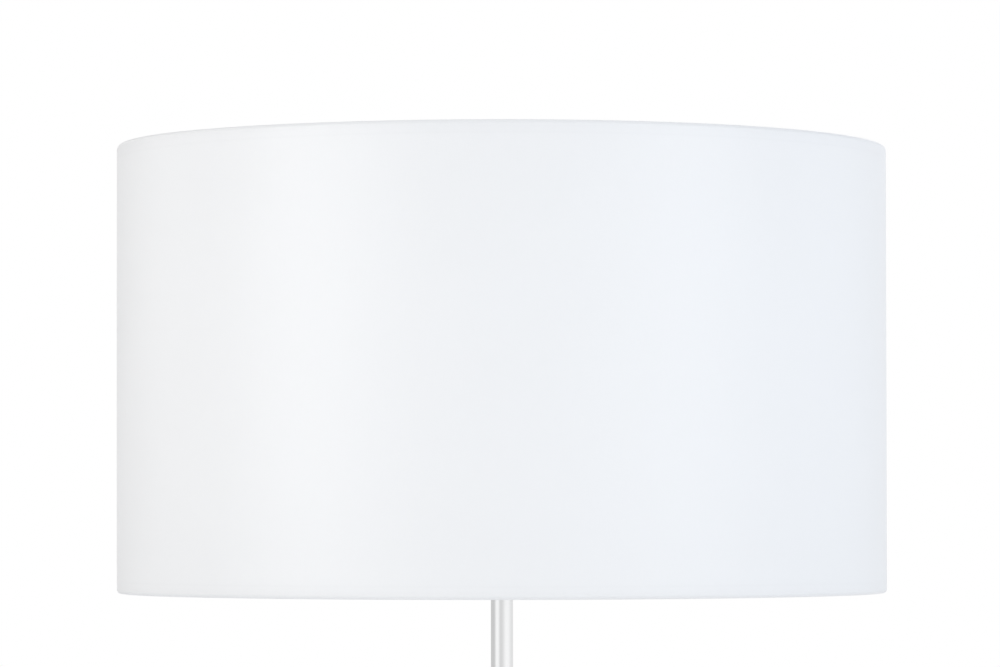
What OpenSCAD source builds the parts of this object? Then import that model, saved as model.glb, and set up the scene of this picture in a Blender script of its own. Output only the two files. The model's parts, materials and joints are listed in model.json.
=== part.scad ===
// Column floor lamp: weighted round base, three-section steel column,
// turn-knob lampholder, detachable harp, and a fabric drum shade on a
// recessed spider. Millimetres, +Z up, origin under the middle of the base.
// The front of the lamp faces -Y. The harp stands in the XZ plane.

/* [Shade] */
// Outer diameter of the drum
shade_d = 450; // [320:5:560]
// Height of the drum
shade_h = 260; // [200:5:340]
// Depth of the spider washer's underside below the top rim
shade_drop = 25; // [20:1:45]
// Thickness of the fabric
fabric_t = 0.5; // [0.3:0.1:0.8]
// Thickness of the stiff liner behind the fabric
liner_t = 0.4; // [0.3:0.1:0.8]
// Wire diameter of the shade's two rings
ring_wire_d = 3; // [2:0.5:4]
// Height of the hem that is turned over each ring
hem_h = 14; // [12:1:18]
// Width of the glued seam at the back
seam_w = 12; // [8:1:20]
// Number of spider arms
arm_count = 3; // [3:1:4]
// Wire diameter of the spider arms
arm_wire_d = 3.5; // [2.5:0.5:4]

/* [Column] */
// Outer diameter of the column tubes
tube_d = 13; // [12.5:0.5:18]
// Length of each of the three tubes
tube_len = 420; // [300:5:500]
// Diameter of the threaded pipe that joins the tubes
pipe_d = 10; // [9:0.5:10.5]
// Bore of the threaded pipe
pipe_bore_d = 6.5; // [6.2:0.1:7]
// Length of thread in each tube end
thread_len = 12; // [8:1:20]

/* [Base] */
// Diameter of the base
base_d = 280; // [240:5:340]
// Height of the base
base_h = 28; // [26:1:36]
// Rise of the domed top from its edge to its middle
base_dome = 5; // [3:0.5:7]
// Radius of the rounded edge
base_edge_r = 8; // [5:0.5:9]
// Thickness of the steel cover
cover_t = 1.2; // [0.8:0.1:2]
// Thickness of the felt pad under the base
pad_t = 2; // [1.5:0.5:4]
// Number of ribs under the weight
rib_count = 6; // [4:1:10]

/* [Harp] */
// Height from the underside of the saddle to the shade's seat
harp_h = 216; // [190:1:250]
// Greatest width between the centres of the two legs
harp_w = 114; // [100:1:130]
// Height of the widest place above the underside of the saddle
harp_belly_h = 129; // [110:1:140]
// Distance between the legs at the saddle
harp_foot_w = 56; // [50:1:60]
// Wire diameter of the harp
harp_wire_d = 3.5; // [3:0.25:4]
// Length of each locking sleeve
sleeve_len = 12; // [10:1:14]
// Diameter of the threaded stud that carries the finial
stud_d = 6.35; // [6:0.05:7]
// Height of the finial
finial_h = 21; // [18:1:26]

/* [Lampholder] */
// Outer diameter of the shell
socket_d = 32.4; // [31.6:0.2:35]
// Height from the underside of the cap to the top of the shell
socket_h = 64; // [62:1:68]
// Diameter of the turn knob
knob_d = 13; // [10:0.5:16]
// Length of the turn knob
knob_len = 13; // [9:0.5:16]

/* [Bulb] */
// Diameter of the globe
bulb_d = 60; // [55:1:66]
// Length of the bulb from its contact to the top of the globe
bulb_len = 108; // [100:1:115]

/* [Hidden] */
$fn = 96;

// Clearances
fit = 0.05;          // radial play of threads and of pieces that slide together
body_gap = 0.2;      // between seated pieces that move against each other
joint_gap = 0.05;    // left between two lengths of one wire, closed by a bead
joint_swell = 0.02;  // how far that bead stands out of the wire

// Vertical stack of the column
column_top = base_h + 3 * tube_len;
neck_h = 5;
saddle_z = column_top + neck_h;
saddle_t = 1.2;
tooth_t = 0.8;
socket_z = saddle_z + saddle_t + tooth_t;
seat_z = saddle_z + harp_h;

// Shade, built up from the spider washer that rests on the harp
washer_t = 2;
washer_z = seat_z + body_gap;
rim_z = washer_z + shade_drop;
hem_z = rim_z - shade_h;
shade_r = shade_d / 2;
liner_r = shade_r - fabric_t;               // outer radius of the liner
inner_r = liner_r - liner_t;                // radius of the shade's inside
roll_r = (ring_wire_d + 2 * fabric_t + 0.6) / 2;   // radius of the rolled rim
ring_r = shade_r - roll_r;                  // centre of each ring's wire
arm_z = washer_z + washer_t / 2;

// Base
base_r = base_d / 2;
land_r = 22;                                // flat middle of the domed top
edge_z = base_h - base_edge_r - base_dome;  // centre height of the rounded edge
dome_span = base_r - base_edge_r - land_r;
dome_q = (dome_span * dome_span + base_dome * base_dome) / (2 * base_dome);
dome_a = asin(dome_span / dome_q);
skirt_z = 1;                                // lower edge of the cover above the floor
weight_gap = 1;                             // between the weight and the cover
boss_r = land_r - 2;
web_t = 6;                                  // iron left above the nut pocket
pocket_r = 15;
pocket_z = base_h - cover_t - web_t;
flat_washer_t = 1.5;
spring_washer_t = 1.6;
nut_h = 4.4;
nut_flats = pipe_d + 6;
nut_z = pocket_z - flat_washer_t - spring_washer_t - nut_h;
base_pipe_z = nut_z - 0.5;
rim_w = 15;                                 // width of the weight's outer foot
hub_r = 32;                                 // radius of the weight's inner foot
recess_h = 14;
rib_t = 6;

// Threaded pipes and tubes
pipe_r = pipe_d / 2 - fit;
pipe_bore_r = pipe_bore_d / 2;
tube_r = tube_d / 2;
tube_bore_r = pipe_d / 2;
seam_chamfer = 0.3;

// Cord outlet: grommet in the cover's skirt, channel under the weight
outlet_z = 6;
grommet_bore_r = 3;
grommet_neck_r = grommet_bore_r + 0.9;
grommet_flange_r = grommet_neck_r + 1.3;
grommet_flange_t = 1.4;
grommet_sag = grommet_flange_r * grommet_flange_r / (2 * (base_r - cover_t)) + fit;
grommet_in = base_r - cover_t - grommet_sag;
grommet_out = base_r + fit;
channel_w = 2 * grommet_bore_r + 2.4;
channel_h = outlet_z + grommet_bore_r + 1.5 - pad_t;
grommet_room = 1.5;                         // iron kept clear round its inner flange

// Collar at the foot of the column
collar_h = 14;
collar_t = 1.2;
collar_sweep = 11.2;
collar_top_r = tube_r + fit + collar_t;
collar_r = collar_top_r + collar_sweep;
collar_lip = 1.5;
neck_r = tube_r + 2.5;

// Harp, from its feet in the saddle's ears to its stud
wire_r = harp_wire_d / 2;
foot_x = harp_foot_w / 2;
ear_bore_r = wire_r + 0.1;
ear_r = ear_bore_r + saddle_t;
ear_z = saddle_z + 8;                       // shoulder that carries each sleeve
ear_h = sleeve_len;
sleeve_bore_r = ear_r + 0.1;
sleeve_t = 0.8;
leg_straight = 2 * sleeve_len + 5;
saddle_bend_r = 6;
saddle_w = 12;
flange_t = 2;
barrel_h = 7;
barrel_r = 5;
flange_r = 9;
stud_h = 9;
harp_top = seat_z - flange_t - barrel_h / 2;
flare_r = 25;                               // bend above each sleeve
shoulder_r = 36;                            // bend beside the stud
top_half = barrel_r + 1;                    // straight wire through the barrel
// lower S of each leg: out by flare_a, then back upright at the widest place
lower_run = harp_w / 2 - foot_x;
lower_rise = saddle_z + harp_belly_h - ear_z - leg_straight;
flare_a = 2 * atan(lower_run / lower_rise);
belly_r = lower_rise / sin(flare_a) - flare_r;
// upper part: in by lean_a round the crown, then over the shoulder
upper_run = harp_w / 2 - top_half;
upper_rise = harp_top - saddle_z - harp_belly_h;
lean_a = 2 * atan((upper_run - shoulder_r) / (upper_rise - shoulder_r));
crown_r = shoulder_r + (upper_rise - shoulder_r) / sin(lean_a);

// Spider washer and finial
spider_washer_r = 12.5;
spider_hole_r = 5.6;
finial_z = washer_z + washer_t + body_gap;
finial_foot_r = 8;
finial_neck_r = 4.6;
finial_ball_r = 8;

// Lampholder, heights above its cap's underside
shell_r = socket_d / 2;
shell_t = 0.5;
cap_t = 0.6;
cap_h = 22;
cap_hub_r = 8.5;
cap_hub_h = 7;
cap_r = shell_r + fit + cap_t;
shell_low = 16;
shell_bead = 0.5;                           // how far the shell's beads stand out
shell_bead_r = 0.8;
fibre_t = 0.7;
fibre_r = shell_r - shell_t - fit;
core_low = 20.5;                            // underside of the moulded core
core_high = 37;
core_r = fibre_r - fibre_t - 0.3;
core_flat = 11;                             // half width across its two flats
knob_axis = 28;
shaft_r = 2;
slot_w = 7;
top_pipe_high = 9;
contact_h = 4;
thread_pitch = 3.63;
thread_depth = 0.6;
screw_play = 0.3;
screw_t = 0.4;
terminal_z = 29;
terminal_r = 2.9;

// Bulb, heights above its contact
bulb_z = socket_z + core_high + contact_h + body_gap;
cap_r_bulb = 13.05;
tip_h = 3;
screw_h = 20;
bulb_neck_z = tip_h + screw_h - 1;
bulb_r = bulb_d / 2;
globe_t = 1.2;
globe_z = bulb_len - bulb_r;                // centre of the globe
globe_cut = bulb_r * 0.6;                   // below its centre
board_t = 1.5;
chip_count = 8;

// ---- Shared shapes ----

function arc_points(c, r, a0, a1, n = 8) =
    [for (i = [0:n]) c + r * [cos(a0 + (a1 - a0) * i / n), sin(a0 + (a1 - a0) * i / n)]];

module ring(r_out, r_in, h) {
    difference() {
        cylinder(r = r_out, h = h);
        translate([0, 0, -1]) cylinder(r = r_in, h = h + 2);
    }
}

module torus(r, wire_radius) {
    rotate_extrude() translate([r, 0]) circle(r = wire_radius);
}

// A bend that starts at the origin along +Z and turns towards +X
// (or towards -X where the angle is negative).
module bend(r, a, wire_radius) {
    side = a < 0 ? -1 : 1;
    trim = joint_gap / r * 180 / PI;
    translate([side * r, 0, 0]) rotate([90, 0, 0])
        rotate([0, 0, (side > 0 ? 180 - a : 0) + trim])
            rotate_extrude(angle = abs(a) - 2 * trim)
                translate([r, 0]) circle(r = wire_radius);
}

// Lays a bent wire length by length. Each step is [length, 0] for a straight
// or [radius, angle] for a bend, and the next one goes on from its end.
module wire(steps, wire_radius, i = 0) {
    if (i < len(steps)) {
        size = steps[i][0];
        a = steps[i][1];
        if (i > 0) sphere(r = wire_radius + joint_swell);
        if (a == 0) {
            translate([0, 0, joint_gap])
                cylinder(r = wire_radius, h = size - 2 * joint_gap);
            translate([0, 0, size]) wire(steps, wire_radius, i + 1);
        } else {
            bend(size, a, wire_radius);
            translate([sign(a) * size * (1 - cos(a)), 0, size * sin(abs(a))])
                rotate([0, a, 0]) wire(steps, wire_radius, i + 1);
        }
    }
}

// ---- Base ----

// Half outline of the domed base, inset evenly by t and closed at height z_low.
function base_outline(t, z_low) = concat(
    [[0, z_low], [base_r - t, z_low]],
    arc_points([base_r - base_edge_r, edge_z], base_edge_r - t, 0, 90 - dome_a),
    arc_points([land_r, base_h - base_edge_r - dome_q], base_edge_r + dome_q - t,
        90 - dome_a, 90, 10),
    [[0, base_h - t]]
);

module base_pad() {
    color("dimgray") cylinder(r = base_r - cover_t - 2, h = pad_t);
}

module base_weight() {
    room_r = grommet_flange_r + grommet_room;
    color("darkslategray") difference() {
        union() {
            rotate_extrude() polygon(base_outline(cover_t + weight_gap, pad_t));
            translate([0, 0, pad_t]) cylinder(r = boss_r, h = base_h - cover_t - pad_t);
        }
        translate([0, 0, pad_t - 1]) weight_recess();
        translate([0, 0, pad_t - 1]) cylinder(r = pocket_r, h = pocket_z - pad_t + 1);
        cylinder(r = pipe_d / 2 + 0.3, h = base_h);
        translate([-channel_w / 2, 0, pad_t - 1])
            cube([channel_w, base_r, channel_h + 1]);
        translate([-room_r, grommet_in - grommet_flange_t - grommet_room, pad_t - 1])
            cube([2 * room_r, base_r, outlet_z + room_r - pad_t + 1]);
    }
}

// The ring-shaped hollow under the weight, broken by its ribs.
module weight_recess() {
    difference() {
        ring(base_r - cover_t - weight_gap - rim_w, hub_r, recess_h + 1);
        for (i = [0:rib_count - 1]) rotate(90 + 360 * (i + 0.5) / rib_count)
            translate([0, -rib_t / 2, -1]) cube([base_r, rib_t, recess_h + 3]);
    }
}

module base_cover() {
    color("silver") difference() {
        rotate_extrude() difference() {
            polygon(base_outline(0, skirt_z));
            polygon(base_outline(cover_t, skirt_z - 1));
        }
        cylinder(r = pipe_d / 2 + 0.3, h = 2 * base_h);
        translate([0, 0, outlet_z]) rotate([-90, 0, 0])
            cylinder(r = grommet_neck_r + fit, h = base_r + 1);
    }
}

module base_flat_washer() {
    color("silver") translate([0, 0, pocket_z - flat_washer_t])
        ring(pocket_r - 2, pipe_d / 2 + 0.3, flat_washer_t);
}

module base_spring_washer() {
    color("gray") translate([0, 0, nut_z + nut_h]) difference() {
        ring(pipe_d / 2 + 3, pipe_d / 2 + 0.3, spring_washer_t);
        rotate([20, 0, 0]) translate([0, -0.5, -3]) cube([pipe_d, 1, 8]);
    }
}

module base_nut() {
    color("silver") translate([0, 0, nut_z]) difference() {
        cylinder(r = nut_flats / sqrt(3), h = nut_h, $fn = 6);
        translate([0, 0, -1]) cylinder(r = pipe_d / 2, h = nut_h + 2);
    }
}

// A trumpet-shaped spun cup that slides over the column's foot.
module base_collar() {
    sweep_c = [collar_r, collar_lip + collar_sweep];
    foot_a = 180 + acos(collar_t / (collar_sweep + collar_t));
    color("silver") translate([0, 0, base_h]) rotate_extrude() polygon(concat(
        [[collar_r, 0], [collar_r, collar_lip]],
        arc_points(sweep_c, collar_sweep, 270, 180),
        [[collar_top_r, collar_h], [collar_top_r - collar_t, collar_h]],
        arc_points(sweep_c, collar_sweep + collar_t, 180, foot_a),
        [[collar_r - collar_t, 0]]
    ));
}

module cord_grommet() {
    color("black") translate([0, 0, outlet_z]) rotate([-90, 0, 0]) difference() {
        union() {
            translate([0, 0, grommet_in - grommet_flange_t])
                cylinder(r = grommet_flange_r, h = grommet_flange_t);
            translate([0, 0, grommet_in]) cylinder(r = grommet_neck_r,
                h = grommet_out - grommet_in);
            translate([0, 0, grommet_out])
                cylinder(r1 = grommet_flange_r, r2 = grommet_flange_r - 0.8, h = grommet_flange_t);
        }
        cylinder(r = grommet_bore_r, h = base_r + 10);
    }
}

// ---- Column ----

// Tube number i, counted from 0 at the foot, with a fine chamfer at each end.
module column_tube(i) {
    c = seam_chamfer;
    color("silver") translate([0, 0, base_h + i * tube_len]) rotate_extrude() polygon([
        [tube_bore_r, 0], [tube_r - c, 0], [tube_r, c],
        [tube_r, tube_len - c], [tube_r - c, tube_len], [tube_bore_r, tube_len]
    ]);
}

module threaded_pipe(z_low, z_high) {
    color("goldenrod") translate([0, 0, z_low]) ring(pipe_r, pipe_bore_r, z_high - z_low);
}

module base_pipe() threaded_pipe(base_pipe_z, base_h + thread_len);

module coupling(i) {
    joint_z = base_h + i * tube_len;
    threaded_pipe(joint_z - thread_len, joint_z + thread_len);
}

module top_pipe() threaded_pipe(column_top - thread_len, socket_z + top_pipe_high);

// Round lock nut that holds the saddle down on the column.
module neck_ring() {
    c = 0.6;
    color("silver") translate([0, 0, column_top]) rotate_extrude() polygon([
        [pipe_d / 2, 0], [neck_r - c, 0], [neck_r, c],
        [neck_r, neck_h - c], [neck_r - c, neck_h], [pipe_d / 2, neck_h]
    ]);
}

// ---- Harp ----

// U-shaped strip, half of its outline in the XZ plane from the middle outwards.
function saddle_outline(x_wall, z_wall) = concat(
    [[0, 0]],
    arc_points([x_wall - saddle_bend_r, saddle_bend_r], saddle_bend_r, 270, 360, 6),
    [[x_wall, z_wall], [x_wall - saddle_t, z_wall]],
    arc_points([x_wall - saddle_bend_r, saddle_bend_r], saddle_bend_r - saddle_t, 360, 270, 6),
    [[0, saddle_t]]
);

module saddle_half() {
    rotate([90, 0, 0]) linear_extrude(saddle_w, center = true)
        polygon(saddle_outline(foot_x - ear_bore_r, ear_z - saddle_z));
    // rolled ear that grips the harp's foot
    translate([foot_x, 0, ear_z - saddle_z]) difference() {
        ring(ear_r, ear_bore_r, ear_h);
        translate([ear_bore_r / 2, -ear_r - 1, -1]) cube([2 * ear_r, 2 * ear_r + 2, ear_h + 2]);
    }
}

module harp_saddle() {
    color("silver") translate([0, 0, saddle_z]) difference() {
        union() {
            saddle_half();
            mirror([1, 0, 0]) saddle_half();
            cylinder(r = pipe_d / 2 + 4.5, h = saddle_t);
        }
        translate([0, 0, -1]) cylinder(r = pipe_d / 2 + 0.2, h = saddle_t + 2);
    }
}

module tooth_washer() {
    teeth = 10;
    r = pipe_d / 2 + 2;
    color("silver") translate([0, 0, saddle_z + saddle_t]) difference() {
        union() {
            cylinder(r = r, h = tooth_t);
            for (i = [0:teeth - 1]) rotate(360 * i / teeth)
                translate([r - 0.5, -0.8, 0]) cube([2, 1.6, tooth_t]);
        }
        translate([0, 0, -1]) cylinder(r = pipe_d / 2 + 0.2, h = tooth_t + 2);
    }
}

// The harp's wire from one foot to the other: straight up out of the ear, out and
// round the belly, in round the crown and over the shoulder to the stud's barrel.
module harp_wire() {
    color("silver") {
        for (s = [0, 1]) mirror([s, 0, 0]) translate([foot_x, 0, ear_z]) wire([
            [leg_straight, 0],
            [flare_r, flare_a],
            [belly_r, -flare_a],
            [crown_r, -lean_a],
            [shoulder_r, lean_a - 90],
            [top_half - joint_gap, 0]
        ], wire_r);
        translate([0, 0, harp_top]) sphere(r = wire_r + joint_swell);
    }
}

module harp_stud() {
    color("silver") difference() {
        translate([0, 0, seat_z - flange_t - barrel_h]) {
            cylinder(r = barrel_r, h = barrel_h);
            translate([0, 0, barrel_h]) cylinder(r = flange_r, h = flange_t);
            translate([0, 0, barrel_h + flange_t]) cylinder(r = stud_d / 2, h = stud_h);
        }
        translate([0, 0, harp_top]) rotate([0, 90, 0])
            cylinder(r = wire_r + fit, h = 4 * barrel_r, center = true);
    }
}

module sleeve(side) {
    color("silver") translate([side * foot_x, 0, ear_z + body_gap])
        ring(sleeve_bore_r + sleeve_t, sleeve_bore_r, sleeve_len);
}

// ---- Lampholder ----

module at_socket(z = 0) {
    translate([0, 0, socket_z + z]) children();
}

// Bell of the cap from its hub out to its wall, inset by t.
bell_r = cap_r - cap_hub_r;
bell_z = shell_low - 1;
function bell_points(t) = [for (i = [0:8]) [
    cap_hub_r + (bell_r - t) * sin(90 * i / 8),
    bell_z - (bell_z - cap_hub_h - t) * cos(90 * i / 8)
]];

module socket_cap() {
    inside = bell_points(cap_t);
    color("silver") at_socket() difference() {
        rotate_extrude() polygon(concat(
            [[pipe_d / 2, 0], [cap_hub_r, 0]],
            bell_points(0),
            [[cap_r, cap_h], [cap_r - cap_t, cap_h]],
            [for (i = [8:-1:0]) inside[i]],
            [[pipe_d / 2, cap_hub_h + cap_t]]
        ));
        translate([0, 0, cap_hub_h / 2]) rotate([0, 90, 0])
            cylinder(r = 1.5 + fit, h = cap_hub_r + 2);
    }
}

module socket_set_screw() {
    color("gray") at_socket(cap_hub_h / 2) rotate([0, 90, 0]) difference() {
        translate([0, 0, pipe_d / 2 + fit]) cylinder(r = 1.5, h = cap_hub_r - pipe_d / 2 + 0.8);
        translate([-0.3, -2, cap_hub_r + 0.3]) cube([0.6, 4, 2]);
    }
}

// Slot, open at the bottom, that lets the shell slip down over the knob's shaft.
module knob_slot() {
    translate([-slot_w / 2, -cap_r - 1, shell_low - 1])
        cube([slot_w, cap_r, knob_axis - shell_low + 1]);
    translate([0, 0, knob_axis]) rotate([90, 0, 0]) cylinder(r = slot_w / 2, h = cap_r + 1);
}

// Drawn tube with a stiffening bead where the core ends and another at its mouth.
module socket_shell() {
    bead_c = shell_r + shell_bead - shell_bead_r;
    bead_a = acos(1 - shell_bead / shell_bead_r);
    color("silver") at_socket() difference() {
        rotate_extrude() polygon(concat(
            [[shell_r - shell_t, shell_low], [shell_r, shell_low]],
            arc_points([bead_c, core_high + shell_bead_r], shell_bead_r, -bead_a, bead_a),
            arc_points([bead_c, socket_h - 2 * shell_bead], shell_bead_r, -bead_a, 90),
            [[shell_r - shell_t, socket_h - shell_bead]]
        ));
        knob_slot();
    }
}

module socket_fibre_sleeve() {
    color("burlywood") at_socket() difference() {
        translate([0, 0, shell_low + 1])
            ring(fibre_r, fibre_r - fibre_t, socket_h - shell_low - 3);
        knob_slot();
    }
}

module socket_core() {
    color("black") at_socket() difference() {
        translate([0, 0, core_low]) cylinder(r = core_r, h = core_high - core_low);
        for (s = [0, 180]) rotate(s) {
            translate([core_flat, -core_r, core_low - 1])
                cube([core_r, 2 * core_r, terminal_z + terminal_r + 1 - core_low + 1]);
            translate([core_flat - 4, 0, terminal_z]) rotate([0, 90, 0])
                cylinder(r = 1.5, h = core_r);
        }
        translate([0, 0, knob_axis]) rotate([90, 0, 0])
            cylinder(r = shaft_r + fit, h = core_r + 1);
    }
}

// Wavy radius of a rolled lamp thread at height z above its lower edge.
function thread_wave(z) = -thread_depth * (0.5 - 0.5 * cos(360 * z / thread_pitch));

module wavy_tube(h, r_crest, t, steps = 44) {
    rotate_extrude() polygon(concat(
        [for (i = [0:steps]) [r_crest + thread_wave(h * i / steps), h * i / steps]],
        [for (i = [steps:-1:0]) [r_crest - t + thread_wave(h * i / steps), h * i / steps]]
    ));
}

module screw_shell() {
    lift = contact_h + body_gap + tip_h;     // bulb thread above the core
    cup_t = 0.6;
    color("silver") at_socket(core_high) {
        translate([0, 0, lift]) wavy_tube(screw_h - 3, cap_r_bulb + screw_play + screw_t, screw_t);
        ring(cap_r_bulb + screw_play + screw_t, cap_r_bulb + screw_play, lift);
        ring(cap_r_bulb + screw_play + screw_t, 9, cup_t);
    }
}

module centre_contact() {
    t = 0.5;
    color("gold") at_socket(core_high) rotate([90, 0, 0])
        linear_extrude(6, center = true) polygon([
            [-7, 0], [-3, 0], [2, contact_h - t], [5, contact_h - t],
            [5, contact_h], [2 - 0.2, contact_h], [-3 - 0.2, t], [-7, t]
        ]);
}

module terminal_screws() {
    for (s = [0, 180]) color(s == 0 ? "gold" : "silver")
        rotate(s) at_socket(terminal_z) rotate([0, 90, 0]) difference() {
            union() {
                translate([0, 0, core_flat - 4]) cylinder(r = 1.5 - fit, h = 4);
                translate([0, 0, core_flat]) cylinder(r = terminal_r, h = 1.8);
            }
            translate([-terminal_r - 1, -0.4, core_flat + 1.2]) cube([2 * terminal_r + 2, 0.8, 2]);
        }
}

module switch_shaft() {
    color("gray") at_socket(knob_axis) rotate([90, 0, 0])
        translate([0, 0, 1]) cylinder(r = shaft_r, h = cap_r + 4 + knob_len / 2);
}

// Ribbed turn knob, pushed on its shaft.
module switch_knob() {
    ribs = 12;
    c = 1;
    knob_r = knob_d / 2;
    color("black") at_socket(knob_axis) rotate([90, 0, 0]) translate([0, 0, cap_r + 3])
        difference() {
            rotate_extrude() polygon([
                [0, 0], [knob_r - c, 0], [knob_r, c],
                [knob_r, knob_len - c], [knob_r - c, knob_len], [0, knob_len]
            ]);
            translate([0, 0, -1]) cylinder(r = shaft_r, h = knob_len / 2 + 3);
            for (i = [0:ribs - 1]) rotate(360 * i / ribs)
                translate([knob_r + 0.4, 0, -1]) cylinder(r = 1.1, h = knob_len + 2, $fn = 24);
        }
}

// ---- Bulb ----

module at_bulb(z = 0) {
    translate([0, 0, bulb_z + z]) children();
}

module bulb_tip() {
    color("silver") at_bulb() cylinder(r1 = 4.2, r2 = 4.8, h = 1);
}

module bulb_insulator() {
    color("black") at_bulb(1) cylinder(r1 = 5.5, r2 = 11, h = tip_h - 1);
}

module bulb_cap() {
    color("silver") at_bulb(tip_h) wavy_tube(screw_h, cap_r_bulb, screw_t);
}

// Height of the globe's cut edge, and its radii there.
globe_low = globe_z - globe_cut;
globe_low_r = sqrt(bulb_r * bulb_r - globe_cut * globe_cut);

module bulb_housing() {
    plug_r = cap_r_bulb - thread_depth - screw_t - fit;
    flare = [for (i = [0:8]) let (s = i / 8) [
        13.8 + (globe_low_r - 13.8) * s * s * (3 - 2 * s),
        bulb_neck_z + 2 + (globe_low - bulb_neck_z - 2) * s
    ]];
    color("white") at_bulb() rotate_extrude() polygon(concat(
        [[0, tip_h], [plug_r, tip_h], [plug_r, tip_h + screw_h + fit],
         [13.8, tip_h + screw_h + fit]],
        flare,
        [[0, globe_low]]
    ));
}

module bulb_globe() {
    a = asin(globe_cut / bulb_r);
    a_in = asin(globe_cut / (bulb_r - globe_t));
    color("white") at_bulb(globe_z) rotate_extrude() polygon(concat(
        arc_points([0, 0], bulb_r, -a, 90, 14),
        arc_points([0, 0], bulb_r - globe_t, 90, -a_in, 14)
    ));
}

module led_board() {
    r = sqrt(pow(bulb_r - globe_t, 2) - globe_cut * globe_cut) - 0.4;
    color("silver") at_bulb(globe_low) cylinder(r = r, h = board_t);
}

module led_chips() {
    size = 3;
    color("khaki") for (i = [0:chip_count - 1]) rotate(360 * i / chip_count)
        at_bulb(globe_low + board_t) translate([13 - size / 2, -size / 2, 0])
            cube([size, size, 0.8]);
}

// ---- Shade ----

// Rolled hem in half section: the fabric turned over the ring and glued down
// the inside of the liner. It stands at the rim and hangs down by hem_h.
module hem_section() {
    low = hem_h * 0.7;
    difference() {
        polygon(concat(
            arc_points([ring_r, -roll_r], roll_r, 0, 180, 12),
            [[ring_r - roll_r, -2 * roll_r], [inner_r - fabric_t, -low],
             [inner_r - fabric_t, -hem_h], [inner_r, -hem_h], [shade_r, -hem_h]]
        ));
        polygon(concat(
            arc_points([ring_r, -roll_r], roll_r - fabric_t, 0, 180, 12),
            [[ring_r - roll_r + fabric_t, -2 * roll_r], [inner_r, -low],
             [inner_r, -hem_h - 1], [liner_r, -hem_h - 1]]
        ));
    }
}

module shade_fabric() {
    slit_w = arm_wire_d + 1;
    color("white") difference() {
        rotate_extrude() {
            translate([0, rim_z]) hem_section();
            translate([0, hem_z]) mirror([0, 1]) hem_section();
            translate([liner_r, hem_z + hem_h - 1]) square([fabric_t, shade_h - 2 * hem_h + 2]);
        }
        // slits where the spider's arms come through the top hem
        each_arm() translate([inner_r - 10, -slit_w / 2, rim_z - hem_h - roll_r])
            cube([10 + fit, slit_w, hem_h]);
    }
}

module shade_liner() {
    color("ivory") translate([0, 0, hem_z + 2 * roll_r])
        ring(liner_r - fit / 2, inner_r + fit / 2, shade_h - 4 * roll_r);
}

// Folded overlap down the back of the drum.
module shade_seam() {
    a = seam_w / shade_r * 180 / PI;
    color("white") translate([0, 0, hem_z + roll_r]) rotate(90 - a / 2)
        rotate_extrude(angle = a) translate([shade_r, 0])
            square([fabric_t, shade_h - 2 * roll_r]);
}

module top_ring() {
    color("silver") translate([0, 0, rim_z - roll_r]) torus(ring_r, ring_wire_d / 2);
}

module bottom_ring() {
    color("silver") translate([0, 0, hem_z + roll_r]) torus(ring_r, ring_wire_d / 2);
}

// Places its children once for each spider arm, the first one at the back.
module each_arm() {
    for (i = [0:arm_count - 1]) rotate(90 + 360 * i / arm_count) children();
}

module spider_arms() {
    bend_r = 8;
    run = ring_r - 1 - bend_r - spider_washer_r + 2.5;
    rise = rim_z - roll_r - arm_z - bend_r;
    color("silver") difference() {
        each_arm() translate([spider_washer_r - 2.5, 0, arm_z]) rotate([0, 90, 0])
            wire([[run, 0], [bend_r, -90], [rise, 0]], arm_wire_d / 2);
        top_ring();
        translate([0, 0, washer_z]) cylinder(r = spider_washer_r, h = washer_t);
    }
}

module spider_washer() {
    color("silver") translate([0, 0, washer_z]) ring(spider_washer_r, spider_hole_r, washer_t);
}

// Turned knob with a coved foot, a waist and a ball, tapped for the stud.
module finial() {
    ball_z = finial_h - finial_ball_r;
    waist_a = asin(finial_neck_r / finial_ball_r);
    waist_z = ball_z - finial_ball_r * cos(waist_a);
    color("silver") translate([0, 0, finial_z]) difference() {
        rotate_extrude() polygon(concat(
            [[0, 0], [finial_foot_r, 0]],
            arc_points([finial_foot_r, waist_z], finial_foot_r - finial_neck_r, 270, 185, 6),
            arc_points([0, ball_z], finial_ball_r, waist_a - 90, 90, 12)
        ));
        translate([0, 0, -1]) cylinder(r = stud_d / 2 + fit, h = stud_h + 0.5);
    }
}

// ---- Assembly ----

base_pad();
base_weight();
base_cover();
base_flat_washer();
base_spring_washer();
base_nut();
base_pipe();
base_collar();
cord_grommet();
column_tube(0);  // lower_tube
coupling(1);  // lower_coupling
column_tube(1);  // middle_tube
coupling(2);  // upper_coupling
column_tube(2);  // upper_tube
top_pipe();
neck_ring();
harp_saddle();
tooth_washer();
harp_wire();
harp_stud();
sleeve(-1);  // left_sleeve
sleeve(1);  // right_sleeve
socket_cap();
socket_set_screw();
socket_shell();
socket_fibre_sleeve();
socket_core();
screw_shell();
centre_contact();
terminal_screws();
switch_shaft();
switch_knob();
bulb_tip();
bulb_insulator();
bulb_cap();
bulb_housing();
bulb_globe();
led_board();
led_chips();
shade_fabric();
shade_liner();
shade_seam();
top_ring();
bottom_ring();
spider_arms();
spider_washer();
finial();
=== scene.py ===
"""The looks of the column floor lamp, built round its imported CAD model.

All lengths are metres in the model's own frame: origin on the floor under the middle
of the base, +Z up, and the front towards -Y.
"""

import json
import math

import bmesh
import bpy
from mathutils import Matrix, Vector, noise


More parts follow.
